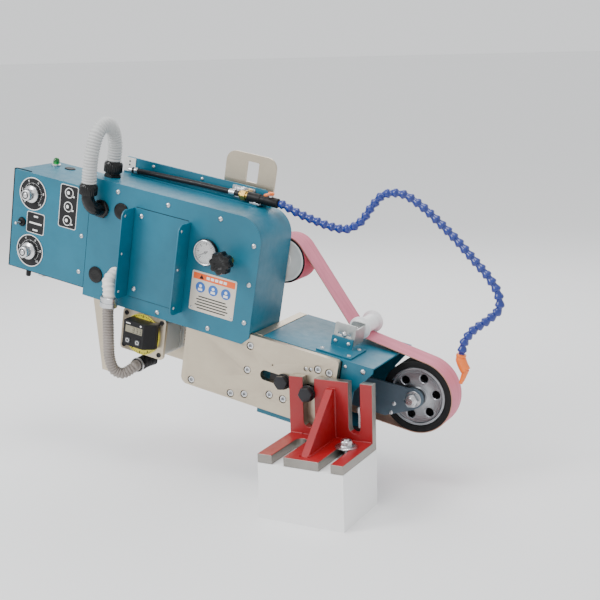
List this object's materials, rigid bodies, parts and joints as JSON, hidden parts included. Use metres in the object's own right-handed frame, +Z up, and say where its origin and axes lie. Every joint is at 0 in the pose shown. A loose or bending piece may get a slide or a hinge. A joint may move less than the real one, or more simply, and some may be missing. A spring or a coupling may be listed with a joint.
{
  "type": "belt grinder",
  "caption": "Lathe-mounted abrasive belt grinder: contact wheel and belt on a plate frame with drive and control boxes, held on a slotted angle bracket, with a coolant hose.",
  "frame": {"origin": "centre of the bracket's underside, on the middle finger between its two slots", "axes": "+X along the bed towards the contact wheel, +Y to the back, +Z up"},
  "size_m": [0.9715, 0.3243, 0.5726],
  "materials": {
    "red_paint": "semi-gloss enamel on a fabricated bracket",
    "teal_paint": "semi-gloss powder coat",
    "frame_steel": "satin nickel-plated plate",
    "zinc_steel": "bright zinc",
    "black_steel": "black oxide",
    "arm_steel": "dark blue-grey satin",
    "machined_aluminium": "turned",
    "dial_aluminium": "turned and knurled",
    "tyre_rubber": "matte",
    "drum_lagging": "matte rose lagging",
    "roller_nylon": "satin",
    "belt_cloth": "fine abrasive grain on cloth",
    "motor_grey": "satin light grey",
    "disc_yellow": "printed scale",
    "black_plastic": "fine texture",
    "button_plastic": "satin",
    "lamp_green": "clear green lens",
    "conduit_grey": "corrugated",
    "conduit_brown": "corrugated",
    "elbow_white": "satin",
    "tube_black": "satin",
    "valve_brass": "machined",
    "hose_blue": "moulded",
    "hose_orange": "moulded"
  },
  "bodies": {
    "base": {"bracket": "red_paint", "hold_down_stud": "zinc_steel", "hold_down_nut": "zinc_steel", "jack_block": "black_steel", "jack_screw": "zinc_steel"},
    "height_clamp": {"pivot_bolt": "black_steel"},
    "slot_clamp": {"slot_bar": "black_steel", "clamp_bolt": "black_steel"},
    "machine": {"front_frame_plate": "frame_steel", "cross_bar": "frame_steel", "rear_frame_plate": "frame_steel", "motor_strap": "frame_steel", "lifting_tab": "frame_steel", "belt_guard": "teal_paint", "contact_arm": "arm_steel", "wheel_axle": "zinc_steel", "axle_nut": "zinc_steel", "drum_axle": "zinc_steel", "roller_axle": "zinc_steel", "roller_bracket": "zinc_steel", "roller_foot": "teal_paint", "abrasive_belt": "belt_cloth", "motor_flange": "frame_steel", "motor_body": "motor_grey", "speed_disc": "disc_yellow", "speed_display": "black_plastic", "box_shell": "teal_paint", "box_cover": "teal_paint", "cover_flange_left": "teal_paint", "cover_flange_right": "teal_paint", "hole_plug_left": "black_plastic", "hole_plug_right": "black_plastic", "control_box": "teal_paint", "control_panel": "teal_paint", "indicator_lamp": "lamp_green", "pressure_gauge": "black_plastic", "upper_conduit_elbow": "black_plastic", "upper_conduit_connector": "black_plastic", "upper_conduit": "conduit_grey", "lower_conduit_elbow": "elbow_white", "lower_conduit": "conduit_brown", "lower_conduit_connector": "black_plastic", "top_rail": "teal_paint", "air_tube": "tube_black", "coolant_valve": "valve_brass", "coolant_hose": "hose_blue", "coolant_nozzle": "hose_orange"},
    "contact_wheel": {"contact_wheel_hub": "machined_aluminium", "contact_wheel_tyre": "tyre_rubber"},
    "drum": {"drum": "drum_lagging"},
    "roller": {"guide_roller": "roller_nylon"},
    "drive": {"drive_pulley": "machined_aluminium", "motor_shaft": "zinc_steel"},
    "speed_dial": {"belt_speed_dial": "dial_aluminium"},
    "oscillation_dial_body": {"oscillation_dial": "dial_aluminium"},
    "toggle": {"toggle_switch": "zinc_steel"},
    "regulator": {"regulator_knob": "black_plastic"},
    "button_left": {"display_button_left": "button_plastic"},
    "button_right": {"display_button_right": "button_plastic"},
    "valve_lever": {"valve_handle": "hose_orange"}
  },
  "joints": [
    {"name": "height_slide", "type": "slide", "parent": "base", "child": "height_clamp", "axis": [0, 0, 1], "range_m": [-0.03, 0.012]},
    {"name": "pitch_hinge", "type": "hinge", "parent": "height_clamp", "child": "slot_clamp", "pos_m": [-0.0425, 0.0683, 0.092], "axis": [0, 1, 0], "range_deg": [-10, 10]},
    {"name": "feed_slide", "type": "slide", "parent": "slot_clamp", "child": "machine", "axis": [0.9829, 0, -0.184], "range_m": [-0.008, 0.02]},
    {"name": "contact_wheel_spin", "type": "hinge", "parent": "machine", "child": "contact_wheel", "pos_m": [0.10691, 0.2113, 0.06404], "axis": [0, 1, 0], "continuous": true},
    {"name": "drum_spin", "type": "hinge", "parent": "machine", "child": "drum", "pos_m": [-0.15489, 0.2113, 0.2987], "axis": [0, 1, 0], "continuous": true},
    {"name": "roller_spin", "type": "hinge", "parent": "machine", "child": "roller", "pos_m": [-0.00057, 0.2113, 0.18284], "axis": [0, 1, 0], "continuous": true},
    {"name": "drive_spin", "type": "hinge", "parent": "machine", "child": "drive", "pos_m": [-0.40072, 0.2113, 0.16209], "axis": [0, 1, 0], "continuous": true},
    {"name": "speed_dial_turn", "type": "hinge", "parent": "machine", "child": "speed_dial", "pos_m": [-0.63507, 0.0583, 0.42112], "axis": [0, 1, 0], "range_deg": [-140, 140]},
    {"name": "oscillation_dial_turn", "type": "hinge", "parent": "machine", "child": "oscillation_dial_body", "pos_m": [-0.65398, 0.0583, 0.30919], "axis": [0, 1, 0], "range_deg": [-140, 140]},
    {"name": "toggle_tilt", "type": "hinge", "parent": "machine", "child": "toggle", "pos_m": [-0.66782, 0.0653, 0.3657], "axis": [0.9829, 0, -0.184], "range_deg": [-14, 14]},
    {"name": "regulator_turn", "type": "hinge", "parent": "machine", "child": "regulator", "pos_m": [-0.19778, 0.0383, 0.3169], "axis": [0, 1, 0], "range_deg": [-170, 170]},
    {"name": "button_left_push", "type": "slide", "parent": "machine", "child": "button_left", "axis": [0, 1, 0], "range_m": [0, 0.0012], "stiffness_N_per_m": 400},
    {"name": "button_right_push", "type": "slide", "parent": "machine", "child": "button_right", "axis": [0, 1, 0], "range_m": [0, 0.0012], "stiffness_N_per_m": 400},
    {"name": "valve_turn", "type": "hinge", "parent": "machine", "child": "valve_lever", "pos_m": [-0.15921, 0.1543, 0.42515], "axis": [0.184, 0, 0.9829], "range_deg": [0, 90]}
  ],
  "couplings": [
    {"joint": "drum_spin", "follows": "contact_wheel_spin", "ratio": 1.5},
    {"joint": "roller_spin", "follows": "contact_wheel_spin", "ratio": -4.4},
    {"joint": "drive_spin", "follows": "contact_wheel_spin", "ratio": 1.0645}
  ]
}
